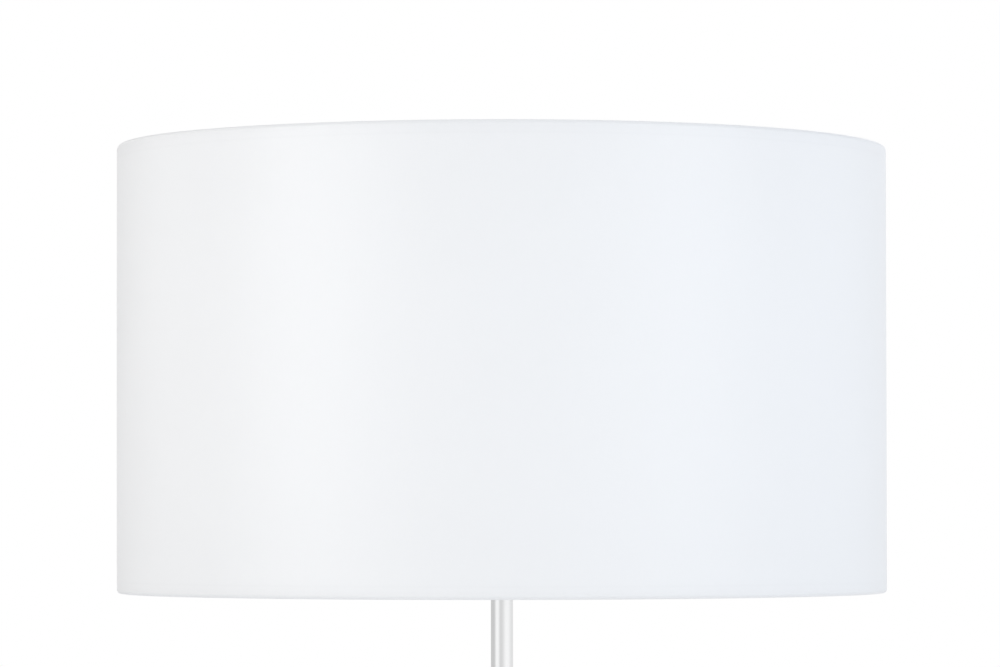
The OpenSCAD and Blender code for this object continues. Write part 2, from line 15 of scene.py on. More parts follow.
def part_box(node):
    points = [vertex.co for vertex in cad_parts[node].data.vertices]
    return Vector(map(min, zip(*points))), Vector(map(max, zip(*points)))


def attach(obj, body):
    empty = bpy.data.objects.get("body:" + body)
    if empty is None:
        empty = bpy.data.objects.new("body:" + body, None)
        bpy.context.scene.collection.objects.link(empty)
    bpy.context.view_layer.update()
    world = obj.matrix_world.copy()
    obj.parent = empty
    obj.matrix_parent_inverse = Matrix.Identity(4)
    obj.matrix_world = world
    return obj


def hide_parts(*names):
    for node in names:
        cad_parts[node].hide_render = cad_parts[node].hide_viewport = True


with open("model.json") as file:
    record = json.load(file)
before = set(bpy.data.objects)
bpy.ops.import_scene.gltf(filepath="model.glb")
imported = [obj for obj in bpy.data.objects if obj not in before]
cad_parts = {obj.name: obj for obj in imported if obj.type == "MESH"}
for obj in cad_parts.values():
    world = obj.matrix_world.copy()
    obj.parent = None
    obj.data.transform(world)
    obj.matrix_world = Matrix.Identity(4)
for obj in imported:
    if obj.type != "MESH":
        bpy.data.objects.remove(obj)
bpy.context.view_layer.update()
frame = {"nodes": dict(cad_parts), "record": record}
nodes = frame["nodes"]

MM = 0.001
# lengths in the model are told apart to this, and rounded to as many decimals
TINY = 0.001 * MM
DECIMALS = 6


# ---------------------------------------------------------------------------
# Sizes, read from the frame where it has them
# ---------------------------------------------------------------------------

shade_low, shade_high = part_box("shade_fabric")
SHADE_RADIUS = (shade_high.x - shade_low.x) / 2
HEM_Z = shade_low.z
RIM_Z = shade_high.z
SHADE_HEIGHT = RIM_Z - HEM_Z
liner_low, liner_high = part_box("shade_liner")
LINER_RADIUS = (liner_high.x - liner_low.x) / 2
ring_low, ring_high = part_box("top_ring")
ROLL_RADIUS = RIM_Z - (ring_low.z + ring_high.z) / 2
# the cloth's thickness, and how far from the rims the line pinched along its hems is
CLOTH = 0.5 * MM
HEM_CREASE = 7 * MM


# ---------------------------------------------------------------------------
# Helpers
# ---------------------------------------------------------------------------


def linked(name, data):
    """A new object in the scene."""
    made = bpy.data.objects.new(name, data)
    bpy.context.scene.collection.objects.link(made)
    return made


def smooth(mesh):
    """Shades every face of the mesh smooth."""
    mesh.polygons.foreach_set("use_smooth", [True] * len(mesh.polygons))


def clamped(value):
    return min(max(value, 0.0), 1.0)


# ---------------------------------------------------------------------------
# Camera
# ---------------------------------------------------------------------------

PHOTO_WIDTH = 1000
FOCAL_PIXELS = 4793
SENSOR = 36
CAMERA_DISTANCE = 2.8125
CAMERA_ABOVE_HEM = 0.0501
CAMERA_SIDE = -0.00103
CAMERA_PITCH = math.radians(2.074)
CAMERA_ROLL = math.radians(-0.048)
CLIP_END = 100


def make_camera():
    """The photograph's view: from the front, just above the lower hem, tilted up."""
    data = bpy.data.cameras.new("camera")
    data.sensor_fit = "HORIZONTAL"
    data.sensor_width = SENSOR
    data.lens = FOCAL_PIXELS * SENSOR / PHOTO_WIDTH
    data.clip_end = CLIP_END
    camera = linked("camera", data)
    stand = Matrix.Translation((CAMERA_SIDE, -CAMERA_DISTANCE, HEM_Z + CAMERA_ABOVE_HEM))
    aim = Matrix.Rotation(math.pi / 2 + CAMERA_PITCH, 4, "X")
    camera.matrix_world = stand @ aim @ Matrix.Rotation(CAMERA_ROLL, 4, "Z")
    bpy.context.scene.camera = camera


make_camera()


# ---------------------------------------------------------------------------
# Shader nodes
# ---------------------------------------------------------------------------

# the Mix node has sockets A, B and Result for each kind of value: these are its colours
MIX_A, MIX_B, MIX_RESULT = 6, 7, 2


def feed(tree, node, inputs):
    """Gives the node its inputs: one that is a socket is linked, and any other is set."""
    for name, value in inputs.items():
        socket = node.inputs[name]
        if isinstance(value, bpy.types.NodeSocket):
            tree.links.new(value, socket)
        else:
            socket.default_value = value


def add(tree, kind, inputs=None, **settings):
    """A new shader node with these inputs and settings."""
    made = tree.nodes.new(kind)
    for name, value in settings.items():
        setattr(made, name, value)
    feed(tree, made, inputs or {})
    return made


def maths(tree, operation, *values):
    """The result of one sum on sockets and numbers."""
    result = add(tree, "ShaderNodeMath", dict(enumerate(values)), operation=operation)
    return result.outputs[0]


def span(tree, value, low, high, to_low, to_high):
    """value from low..high taken smoothly to to_low..to_high."""
    inputs = {
        "Value": value,
        "From Min": low,
        "From Max": high,
        "To Min": to_low,
        "To Max": to_high,
    }
    ranged = add(tree, "ShaderNodeMapRange", inputs, interpolation_type="SMOOTHSTEP")
    return ranged.outputs["Result"]


def stretched(tree, vector, scale):
    """The coordinates in the vector, stretched by scale."""
    inputs = {"Vector": vector, "Scale": scale}
    return add(tree, "ShaderNodeMapping", inputs).outputs["Vector"]


def place(tree, scale=(1, 1, 1)):
    """Coordinates in metres in the model's frame, stretched by scale."""
    return stretched(tree, add(tree, "ShaderNodeTexCoord").outputs["Object"], scale)


def grain(tree, vector, scale, detail=2.0, roughness=0.5):
    """Cloudy noise from 0 to 1, scale clouds to the metre."""
    inputs = {"Vector": vector, "Scale": scale, "Detail": detail, "Roughness": roughness}
    return add(tree, "ShaderNodeTexNoise", inputs).outputs["Fac"]


def bump(tree, height, distance, strength=1.0, **normal):
    """A normal raised by height, on top of another where Normal is given."""
    inputs = {"Height": height, "Distance": distance, "Strength": strength, **normal}
    return add(tree, "ShaderNodeBump", inputs).outputs["Normal"]


def tint(tree, value, dark, light):
    """A colour between dark and light, as value goes from 0 to 1."""
    inputs = {"Factor": value, MIX_A: (*dark, 1), MIX_B: (*light, 1)}
    return add(tree, "ShaderNodeMix", inputs, data_type="RGBA").outputs[MIX_RESULT]


def between(tree, value, start, end):
    """A number from start to end, as value goes from 0 to 1."""
    inputs = {"Factor": value, "A": start, "B": end}
    return add(tree, "ShaderNodeMix", inputs).outputs["Result"]


def shaded(tree, value, start, end):
    """The start shader giving way to the end one, as value goes from 0 to 1."""
    inputs = {0: value, 1: start, 2: end}
    return add(tree, "ShaderNodeMixShader", inputs).outputs["Shader"]


def shining(tree, kind, strength, colour=(1, 1, 1, 1)):
    """An Emission or a Background shader, white unless it is given a colour."""
    inputs = {"Color": colour, "Strength": strength}
    return add(tree, f"ShaderNode{kind}", inputs).outputs[kind]


def material(name):
    """A new material with its node tree and its main shader."""
    made = bpy.data.materials.new(name)
    made.use_nodes = True
    return made, made.node_tree, made.node_tree.nodes["Principled BSDF"]


def wire_up(tree, shader, **sockets):
    """Feeds the shader's sockets, named with underscores for spaces."""
    for name, value in sockets.items():
        feed(tree, shader, {name.replace("_", " "): value})


# ---------------------------------------------------------------------------
# Materials
# ---------------------------------------------------------------------------

# the part of a noise's range over which roughness changes, and that on metal
NOISE_RANGE = (0.3, 0.7)
METAL_RANGE = (0.25, 0.75)
METAL_EDGE = 0.15 * MM
METAL_LINES = 260
PLASTIC_EDGE = 0.2 * MM
PLASTIC_SKIN = 0.02 * MM
EDGE_SAMPLES = 4


def matt(tree, cloud, roughness, within=NOISE_RANGE):
    """Roughness that goes between two values with the noise."""
    return span(tree, cloud, *within, *roughness)


def eased_edges(tree, radius):
    """Normals rounded over sharp edges, so that they catch the light as worn edges do."""
    eased = add(tree, "ShaderNodeBevel", {"Radius": radius}, samples=EDGE_SAMPLES)
    return eased.outputs["Normal"]


def metal(name, dark, light, roughness, patch=40, brush=(1, 1, 12), relief=0.004 * MM):
    """Plated or bare metal: cloudy tone and gloss, and fine lines stretched by brush."""
    made, tree, shader = material(name)
    cloud = grain(tree, place(tree), patch, 3)
    lines = grain(tree, place(tree, brush), METAL_LINES, 3, 0.6)
    both = maths(tree, "MULTIPLY_ADD", lines, 0.4, maths(tree, "MULTIPLY", cloud, 0.6))
    wire_up(
        tree,
        shader,
        Base_Color=tint(tree, both, dark, light),
        Metallic=1.0,
        Roughness=matt(tree, both, roughness, METAL_RANGE),
        Normal=bump(tree, lines, relief, Normal=eased_edges(tree, METAL_EDGE)),
    )
    return made


def plastic(name, dark, light, roughness, patch=60, pitch=1500):
    """Moulded or coated surface: a faint mottle in colour and a fine-grained skin."""
    made, tree, shader = material(name)
    cloud = grain(tree, place(tree), patch, 3)
    skin = grain(tree, place(tree), pitch, 2)
    wire_up(
        tree,
        shader,
        Base_Color=tint(tree, cloud, dark, light),
        Roughness=matt(tree, cloud, roughness),
        Normal=bump(tree, skin, PLASTIC_SKIN, Normal=eased_edges(tree, PLASTIC_EDGE)),
    )
    return made


def felt():
    """Dark pressed felt: tufts of tone and short fibres."""
    made, tree, shader = material("felt")
    fibres = grain(tree, place(tree, (1, 1, 4)), 1400, 4, 0.7)
    tufts = grain(tree, place(tree), 160, 3)
    wire_up(
        tree,
        shader,
        Base_Color=tint(tree, tufts, (0.022, 0.022, 0.024), (0.070, 0.070, 0.073)),
        Roughness=0.95,
        Sheen_Weight=0.35,
        Normal=bump(tree, fibres, 0.35 * MM),
    )
    return made


def cast_iron():
    """Sand-cast iron, patchy and grainy."""
    made, tree, shader = material("iron")
    sand = grain(tree, place(tree), 900, 5, 0.7)
    patches = grain(tree, place(tree), 30, 4)
    wire_up(
        tree,
        shader,
        Base_Color=tint(tree, patches, (0.028, 0.028, 0.030), (0.055, 0.052, 0.050)),
        Roughness=matt(tree, patches, (0.48, 0.68)),
        Normal=bump(tree, sand, 0.25 * MM),
    )
    return made


THREAD_PITCH = 0.42 * MM
# painted shade by the rims: how far from the rim each painted tone reaches, and how much
# darker it is there; a negative depth is a painted highlight
PAINTED_SHADE_OVER_WIRE = (5 * MM, 0.012)
# painted highlight along the fold of the rolled rim
PAINTED_FOLD_HIGHLIGHT = (1.5 * MM, -0.115)
PAINTED_SHADE_OVER_HEM = (2 * HEM_CREASE, 0.012)
PAINTED_SHADE_TOWARDS_RIM = (90 * MM, 0.014)
PAINTED_SHADE_IN_PINCH = (1.1 * MM, 0.010)
# thick places along the weft and streaks along the warp: how many to the metre, and
# how they are stretched
SLUBS, SLUB_STRETCH = 110, (1, 9, 1)
STREAKS, STREAK_STRETCH = 90, (12, 1, 1)
BLOTCHES = 14
# how much shade is painted between the weave's threads, how much the weave tints them, and
# how much it raises them
PIT_SHADE_DEPTH = 0.035
WEAVE_TONE = 0.08
WEAVE_RELIEF = 0.6
THREAD_HEIGHT = 0.03 * MM


def near(tree, distance, tone):
    """The tone's depth where distance is 0, falling smoothly to 0 at its reach."""
    reach, depth = tone
    return maths(tree, "MULTIPLY", span(tree, distance, 0, reach, 1, 0), depth)


def rim_shade(tree):
    """How much painted shade the cloth has by its rims: darker over the ring wires and over
    the doubled hem, where no light comes through it, in the pinched line along the hem,
    and fading darker towards each rim. The fold itself gets a painted highlight, paler
    than the rest."""
    height = add(tree, "ShaderNodeSeparateXYZ", {"Vector": place(tree)}).outputs["Z"]
    down = maths(tree, "SUBTRACT", RIM_Z, height)
    up = maths(tree, "SUBTRACT", height, HEM_Z)
    off = maths(tree, "MINIMUM", down, up)
    line = maths(tree, "ABSOLUTE", maths(tree, "SUBTRACT", off, HEM_CREASE))
    tones = (PAINTED_SHADE_OVER_WIRE, PAINTED_FOLD_HIGHLIGHT, PAINTED_SHADE_OVER_HEM, PAINTED_SHADE_TOWARDS_RIM)
    # painted shade over the wire, over the hem and towards the rim, and a painted highlight
    # on the fold
    wire_shade, fold_highlight, hem, fade_shade = (near(tree, off, tone) for tone in tones)
    # painted shade in the crease along the hem
    pinch_shade = near(tree, line, PAINTED_SHADE_IN_PINCH)
    rim = maths(tree, "ADD", maths(tree, "ADD", wire_shade, fold_highlight), hem)
    return maths(tree, "ADD", rim, maths(tree, "ADD", fade_shade, pinch_shade))


def cloth():
    """White satin-faced shade cloth. Its UV map is in metres round and up the drum."""
    made, tree, shader = material("shade_cloth")
    uv = add(tree, "ShaderNodeTexCoord").outputs["UV"]
    parts = add(tree, "ShaderNodeSeparateXYZ", {"Vector": uv})
    turn = 2 * math.pi / THREAD_PITCH
    weft = maths(tree, "SINE", maths(tree, "MULTIPLY", parts.outputs["X"], turn))
    warp = maths(tree, "SINE", maths(tree, "MULTIPLY", parts.outputs["Y"], turn))
    weave = maths(tree, "MULTIPLY", weft, warp)
    slub = grain(tree, stretched(tree, uv, SLUB_STRETCH), SLUBS, 4, 0.6)
    streak = grain(tree, stretched(tree, uv, STREAK_STRETCH), STREAKS, 3, 0.6)
    blotch = grain(tree, uv, BLOTCHES, 2)
    threads = maths(tree, "MULTIPLY_ADD", slub, 0.5, maths(tree, "MULTIPLY", streak, 0.5))
    tone = maths(tree, "MULTIPLY_ADD", blotch, 0.4, maths(tree, "MULTIPLY", threads, 0.6))
    tone = maths(tree, "MULTIPLY_ADD", weave, WEAVE_TONE, tone)
    relief = maths(tree, "MULTIPLY_ADD", weave, WEAVE_RELIEF, threads)
    base = tint(tree, tone, (0.888, 0.890, 0.892), (0.928, 0.929, 0.931))
    # painted shade between the threads, where the weave is low
    pit_shade = maths(tree, "MULTIPLY_ADD", weave, -PIT_SHADE_DEPTH, PIT_SHADE_DEPTH)
    # the base colour darkened by the painted shade at the rims and between the threads, and
    # made paler by the painted highlight on the fold
    lit = maths(tree, "SUBTRACT", maths(tree, "SUBTRACT", 1.0, rim_shade(tree)), pit_shade)
    scaled = add(tree, "ShaderNodeVectorMath", {0: base, "Scale": lit}, operation="SCALE")
    wire_up(
        tree,
        shader,
        Base_Color=scaled.outputs["Vector"],
        Roughness=matt(tree, tone, (0.34, 0.42)),
        IOR=1.55,
        Specular_IOR_Level=0.95,
        Normal=bump(tree, relief, THREAD_HEIGHT, 0.7),
    )
    return made


def lining():
    """Smooth white film on the inside of the shade."""
    made, tree, shader = material("shade_lining")
    cloud = grain(tree, place(tree), 25, 3)
    skin = grain(tree, place(tree), 700, 3)
    wire_up(
        tree,
        shader,
        Base_Color=tint(tree, cloud, (0.86, 0.855, 0.84), (0.90, 0.895, 0.88)),
        Roughness=matt(tree, cloud, (0.38, 0.48)),
        Normal=bump(tree, skin, 0.03 * MM),
    )
    return made


def fibre_board():
    """Brown vulcanised fibre with its strands."""
    made, tree, shader = material("fibre")
    strands = grain(tree, place(tree, (1, 1, 6)), 500, 4, 0.65)
    wire_up(
        tree,
        shader,
        Base_Color=tint(tree, strands, (0.30, 0.20, 0.11), (0.47, 0.34, 0.21)),
        Roughness=0.75,
        Normal=bump(tree, strands, 0.05 * MM),
    )
    return made


def globe():
    """Frosted milky plastic that light goes a little way into."""
    made, tree, shader = material("globe_plastic")
    frost = grain(tree, place(tree), 2200, 2)
    cloud = grain(tree, place(tree), 30, 2)
    wire_up(
        tree,
        shader,
        Base_Color=tint(tree, cloud, (0.88, 0.88, 0.865), (0.91, 0.91, 0.90)),
        Roughness=matt(tree, cloud, (0.30, 0.38)),
        Subsurface_Weight=0.3,
        Subsurface_Radius=(1.0, 0.9, 0.8),
        Subsurface_Scale=4 * MM,
        Normal=bump(tree, frost, 0.01 * MM),
    )
    return made


# dark and light tone and the roughness of each, then clouds to the metre, how the
# lines are stretched, and how high they stand
METALS = {
    "chrome": ((0.85, 0.86, 0.87), (0.89, 0.895, 0.90), (0.07, 0.12), 22, (1, 1, 4), 0),
    "zinc_steel": ((0.55, 0.56, 0.57), (0.66, 0.67, 0.68), (0.30, 0.42), 200),
    "nickel": (
        (0.66, 0.64, 0.60), (0.71, 0.69, 0.65), (0.19, 0.25), 45, (1, 1, 6), 0.001 * MM
    ),
    "brass": ((0.74, 0.55, 0.25), (0.84, 0.65, 0.32), (0.18, 0.28), 120),
    "solder": (
        (0.48, 0.48, 0.49), (0.62, 0.62, 0.63), (0.35, 0.55), 500, (1, 1, 1), 0.08 * MM
    ),
    "board": ((0.72, 0.73, 0.74), (0.82, 0.83, 0.84), (0.35, 0.50), 150),
}
# dark and light tone and the roughness of each, then clouds and grains to the metre
PLASTICS = {
    "black_rubber": ((0.020, 0.020, 0.020), (0.035, 0.035, 0.035), (0.62, 0.78)),
    "phenolic": ((0.016, 0.014, 0.013), (0.030, 0.026, 0.024), (0.20, 0.32), 300),
    "bulb_glass_black": ((0.01, 0.01, 0.01), (0.02, 0.02, 0.02), (0.04, 0.10)),
    "bulb_plastic": ((0.80, 0.80, 0.78), (0.86, 0.86, 0.84), (0.30, 0.42)),
    "phosphor": ((0.78, 0.62, 0.12), (0.86, 0.72, 0.22), (0.25, 0.40)),
    "white_wire": ((0.80, 0.80, 0.79), (0.86, 0.86, 0.85), (0.30, 0.42), 60, 500),
}
MATERIALS = {
    "felt": felt(),
    "iron": cast_iron(),
    "fibre": fibre_board(),
    "globe_plastic": globe(),
    "shade_cloth": cloth(),
    "shade_lining": lining(),
}
MATERIALS.update((name, metal(name, *looks)) for name, looks in METALS.items())
MATERIALS.update((name, plastic(name, *looks)) for name, looks in PLASTICS.items())

SLOTS = {part["node"]: part["material_slot"] for part in frame["record"]["subparts"]}


def dress_cad_nodes():
    """Gives every CAD node the finish of its material slot."""
    for node, slot in SLOTS.items():
        mesh = nodes[node].data
        mesh.materials.clear()
        mesh.materials.append(MATERIALS[slot])


dress_cad_nodes()


# ---------------------------------------------------------------------------
# Shade cloth
# ---------------------------------------------------------------------------

AROUND = 576
FACE_ROWS = 40
SHEET_RADIUS = SHADE_RADIUS - CLOTH / 2
WITHIN_FACE = 0.1 * MM
# the hem: glued inside the liner, then turned round the ring
LINER = 0.4 * MM
TUCK_RADIUS = LINER_RADIUS - LINER - CLOTH / 2
HEM_DEPTH = 14 * MM
TUCK_SHARES = (1.0, 0.85, 0.7, 0.45)
TUCK_ROWS = len(TUCK_SHARES) + 1
TUCK_LEAN, TUCK_DROP = 0.5 * MM, 1.7
ROLL_TURN = ROLL_RADIUS - CLOTH / 2
ROLL_STEPS = 10
ARM_AZIMUTHS = (90, 210, 330)
SLIT_HALF = 2.25 * MM
CUT_STRAY, CUT_PACE, CUT_SEED = 0.7 * MM, 13, 5.5
# how far the laminated face strays from a true cylinder
DRIFT, DRIFT_PACE, DRIFT_RISE = 0.35 * MM, 2.2, 3
RIPPLE, RIPPLE_PACE, RIPPLE_RISE = 0.06 * MM, 9, 14
PINCH, PINCH_REACH = 0.08 * MM, 1.4 * MM
CREASE, CREASE_REACH = 0.12 * MM, 2.5 * MM
CREASE_AZIMUTH = math.radians(-102.4)
CREASE_Z, CREASE_HALF = HEM_Z + 50 * MM, 26 * MM
TOP_SPREAD = 0.4 * MM
# the upper hem was drawn up a little on one side
RISE = 1.1 * MM
RISE_AZIMUTH = math.radians(-170)
RISE_REACH = math.radians(38)
RISE_DEPTH = 70 * MM
# the folded end of the cloth, which stands on its start and is glued down to
# LAP_GLUED of its own thickness, from LAP_FLAT of its width onwards
LAP_WIDTH = 12 * MM
LAP_COLUMNS = 16
LAP_TRIM = 2
LAP_STAND, LAP_GLUED = 1.02, 0.12
LAP_FLAT = 0.45
LAP_LIP = 0.12 * MM
LAP_PUCKER = 0.05 * MM
PUCKERS_ACROSS, PUCKERS_UP, PUCKER_SEED = 40, 260, 3.0


def hill(distance, reach):
    """1 where distance is 0, falling away like a bell, to 1/e at reach."""
    return math.exp(-((distance / reach) ** 2))


def rim_profile():
    """The turned hem in section, as (radius, depth below the rim), from its glued
    edge inside, over the ring and down to where the outer face begins."""
    middle = SHADE_RADIUS - ROLL_RADIUS
    points = [(TUCK_RADIUS, HEM_DEPTH * share) for share in TUCK_SHARES]
    points.append((middle - ROLL_TURN + TUCK_LEAN, TUCK_DROP * ROLL_RADIUS))
    for i in range(ROLL_STEPS + 1):
        a = math.pi * (1 - i / ROLL_STEPS)
        depth = ROLL_RADIUS - ROLL_TURN * math.sin(a)
        points.append((middle + ROLL_TURN * math.cos(a), depth))
    return points


def cloth_profile():
    """(radius, height) from the upper glued edge over the top, down the face and
    round to the lower glued edge."""
    top = [(r, RIM_Z - d) for r, d in rim_profile()]
    bottom = [(r, HEM_Z + d) for r, d in reversed(rim_profile())]
    z_from, z_to = top[-1][1], bottom[0][1]
    step = (z_to - z_from) / FACE_ROWS
    face = [(SHEET_RADIUS, z_from + step * i) for i in range(1, FACE_ROWS)]
    return top + face + bottom


def wave(angle, pace, third):
    """Noise from -1 to 1 that closes on itself round the drum, quicker with its pace,
    and changes with its third coordinate."""
    return noise.noise(Vector((pace * math.cos(angle), pace * math.sin(angle), third)))


def face_relief(angle, z):
    """How far the laminated face stands out from a true cylinder: slow waves in the
    liner, the pinched line along each hem, and one soft upright crease."""
    relief = DRIFT * wave(angle, DRIFT_PACE, DRIFT_RISE * z)
    relief += RIPPLE * wave(angle, RIPPLE_PACE, RIPPLE_RISE * z)
    for line in (RIM_Z - HEM_CREASE, HEM_Z + HEM_CREASE):
        relief -= PINCH * hill(z - line, PINCH_REACH)
    across = hill((angle - CREASE_AZIMUTH) * SHADE_RADIUS, CREASE_REACH)
    along = math.exp(-(((z - CREASE_Z) / CREASE_HALF) ** 4))
    return relief + CREASE * across * along


def drawn(angle, r, z):
    """How far the cloth outside the ring's inner side stands out and up: a slight
    spread towards the top, and the rise of the upper hem, with the face stretched
    below it. The glued hem inside stays where it is."""
    if r < SHEET_RADIUS - WITHIN_FACE and RIM_Z - z > ROLL_RADIUS:
        return 0, 0
    free = clamped((r - SHEET_RADIUS + 2 * ROLL_TURN) / ROLL_TURN)
    spread = TOP_SPREAD * (z - HEM_Z) / SHADE_HEIGHT
    share = clamped((z - RIM_Z + RISE_DEPTH) / (RISE_DEPTH - HEM_DEPTH))
    aside = (angle - RISE_AZIMUTH + math.pi) % (2 * math.pi) - math.pi
    return free * spread, free * share * RISE * hill(aside, RISE_REACH)


def cut_edge(angle, row, rows):
    """How far the scissored edge of the glued hem strays at this angle, in height."""
    if row not in (0, rows - 1):
        return 0
    sign = -1 if row == 0 else 1
    return sign * CUT_STRAY * wave(angle, CUT_PACE, CUT_SEED + sign)


def lengths_along(profile):
    """How far along the profile each of its points lies."""
    lengths = [0.0]
    for (r0, z0), (r1, z1) in zip(profile, profile[1:]):
        lengths.append(lengths[-1] + math.hypot(r1 - r0, z1 - z0))
    return lengths


def sheet_mesh(name, angles, profile, closed, skipped=(), lift=None):
    """A sheet of cloth over these angles, without the skipped (column, row) faces,
    raised by lift(column, row), and with its UV map in metres."""
    lengths = lengths_along(profile)
    rows = len(profile)
    vertices = []
    for i, angle in enumerate(angles):
        for k, (r, z) in enumerate(profile):
            out, up = lift(i, k) if lift else (0, 0)
            spread, rise = drawn(angle, r, z)
            radius = r + face_relief(angle, z) + spread + out
            height = z + up + rise + cut_edge(angle, k, rows)
            vertices.append((radius * math.cos(angle), radius * math.sin(angle), height))
    faces = []
    uvs = []
    count = len(angles)
    for i in range(count if closed else count - 1):
        j = (i + 1) % count
        u0 = angles[i] * SHADE_RADIUS
        u1 = (angles[j] + (2 * math.pi if j < i else 0)) * SHADE_RADIUS
        for k in range(rows - 1):
            if (i, k) in skipped:
                continue
            faces.append((i * rows + k, i * rows + k + 1, j * rows + k + 1, j * rows + k))
            v0, v1 = lengths[k], lengths[k + 1]
            uvs += [(u0, v0), (u0, v1), (u1, v1), (u1, v0)]
    mesh = bpy.data.meshes.new(name)
    mesh.from_pydata(vertices, [], faces)
    layer = mesh.uv_layers.new(name="UVMap")
    for loop, uv in zip(layer.data, uvs):
        loop.uv = uv
    smooth(mesh)
    return mesh


def cloth_piece(mesh, node):
    """The sheet as an object with the cloth's thickness, which stands for the node."""
    piece = linked(mesh.name, mesh)
    thick = piece.modifiers.new("cloth thickness", "SOLIDIFY")
    thick.thickness = CLOTH
    thick.offset = 0
    mesh.materials.append(MATERIALS["shade_cloth"])
    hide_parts(node)
    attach(piece, "shade")
    return piece


def make_cloth():
    """The panel round the drum, its hem slit where the three arms come through."""
    angles = [2 * math.pi * i / AROUND - math.pi for i in range(AROUND)]
    skipped = set()
    for azimuth in ARM_AZIMUTHS:
        middle = round((azimuth + 180) % 360 / 360 * AROUND)
        centre = angles[middle]
        angles[middle - 1] = centre - SLIT_HALF / SHADE_RADIUS
        angles[middle + 1] = centre + SLIT_HALF / SHADE_RADIUS
        for i in (middle - 1, middle):
            skipped.update((i, k) for k in range(TUCK_ROWS + 1))
    mesh = sheet_mesh("cloth_panel", angles, cloth_profile(), True, skipped)
    return cloth_piece(mesh, "shade_fabric")


def make_lap():
    """The cloth's folded end, lapped over its start down the back of the drum, and
    slit where the arm there comes through."""
    profile = cloth_profile()[LAP_TRIM:-LAP_TRIM]
    shares = [i / LAP_COLUMNS for i in range(LAP_COLUMNS + 1)]
    width = LAP_WIDTH / SHADE_RADIUS
    angles = [math.pi / 2 + width * (share - 0.5) for share in shares]
    outwards = []
    for k in range(len(profile)):
        r0, z0 = profile[max(k - 1, 0)]
        r1, z1 = profile[min(k + 1, len(profile) - 1)]
        length = math.hypot(r1 - r0, z1 - z0)
        outwards.append(((z0 - z1) / length, (r1 - r0) / length))

    def lift(i, k):
        share = shares[i]
        glued = max(0.0, (share - LAP_FLAT) / (1 - LAP_FLAT))
        stand = CLOTH * (LAP_STAND - (LAP_STAND - LAP_GLUED) * glued**1.5)
        if i == 0:
            stand -= LAP_LIP
        at = (PUCKERS_ACROSS * share, PUCKERS_UP * profile[k][1], PUCKER_SEED)
        pucker = noise.noise(Vector(at))
        stand += LAP_PUCKER * pucker * (1 - share)
        out, up = outwards[k]
        return out * stand, up * stand

    skipped = set()
    for i in range(LAP_COLUMNS):
        middle = (shares[i] + shares[i + 1]) / 2 - 0.5
        if abs(middle) * LAP_WIDTH < SLIT_HALF:
            skipped.update((i, k) for k in range(TUCK_ROWS))
    mesh = sheet_mesh("cloth_lap", angles, profile, False, skipped, lift)
    return cloth_piece(mesh, "shade_seam")


cloth_panel = make_cloth()
cloth_lap = make_lap()


# ---------------------------------------------------------------------------
# Turned and formed pieces
# ---------------------------------------------------------------------------

SHARP_EDGE = math.radians(30)
# an outline's turns in degrees: up to the first it runs straight on, and over the
# second it has a corner
STRAIGHT = 0.4
SHARP_CORNER = 22
# a step this many times as long as the next is a flat run that meets a curve
FLAT_RUN = 3
CURVE_STEPS = 5
TURNS = 192
COVER_TURNS = 384
GROMMET_FLANGE = 1.3 * MM
HOLE_PLAY = 0.05 * MM
HOLE_DEPTH = 30 * MM
HOLE_SIDES = 64
# each piece, the CAD node that it stands for, and the body that it rides on
TURNED = [
    ("frosted_globe", "bulb_globe", "bulb"),
    ("turned_finial", "finial", "finial"),
    ("spun_collar", "base_collar", "lamp"),
    ("turned_neck_ring", "neck_ring", "lamp"),
    ("drawn_lower_tube", "lower_tube", "lamp"),
    ("drawn_middle_tube", "middle_tube", "lamp"),
    ("drawn_upper_tube", "upper_tube", "lamp"),
]
FORMED = [
    ("drawn_cap", "socket_cap", "lamp"),
    ("drawn_shell", "socket_shell", "lamp"),
    ("rolled_screw_shell", "screw_shell", "lamp"),
    ("bent_saddle", "harp_saddle", "lamp"),
    ("bent_harp", "harp_wire", "lamp"),
    ("moulded_housing", "bulb_housing", "bulb"),
    ("rolled_thread_cap", "bulb_cap", "bulb"),
    ("bent_arms", "spider_arms", "shade"),
]


def section(node):
    """The CAD node's outline in the half plane x > 0, as (radius, height) points in
    order. It ends on the axis, or closes on itself."""
    mesh = nodes[node].data
    links = {}
    for edge in mesh.edges:
        a, b = (mesh.vertices[i].co for i in edge.vertices)
        if max(abs(a.y), abs(b.y)) > TINY or min(a.x, b.x) < -TINY:
            continue
        a, b = ((round(p.x, DECIMALS) + 0.0, round(p.z, DECIMALS)) for p in (a, b))
        if a != b and max(a[0], b[0]) > TINY:
            links.setdefault(a, []).append(b)
            links.setdefault(b, []).append(a)
    ends = [point for point, met in links.items() if len(set(met)) == 1]
    start = min(ends, key=lambda point: (point[0], -point[1])) if ends else max(links)
    walk = [start]
    while walk[-1] != start or len(walk) == 1:
        onwards = set(links[walk[-1]]) - set(walk[1:])
        if len(walk) < 3:
            onwards.discard(start)
        if not onwards:
            break
        walk.append(min(onwards, key=lambda point: (point == start, point)))
    return walk


def corner(a, b, c):
    """The outline's turn at b, in degrees."""
    one = math.atan2(b[1] - a[1], b[0] - a[0])
    two = math.atan2(c[1] - b[1], c[0] - b[0])
    return abs(math.degrees((two - one + math.pi) % (2 * math.pi) - math.pi))


def without_straights(outline):
    """The outline without the points that lie along its straight runs."""
    kept = [outline[0]]
    for point, after in zip(outline[1:], outline[2:]):
        if corner(kept[-1], point, after) > STRAIGHT:
            kept.append(point)
    return kept + [outline[-1]]


def direction(a, b):
    """The way from a to b, of length 1."""
    size = math.dist(a, b)
    return ((b[0] - a[0]) / size, (b[1] - a[1]) / size)


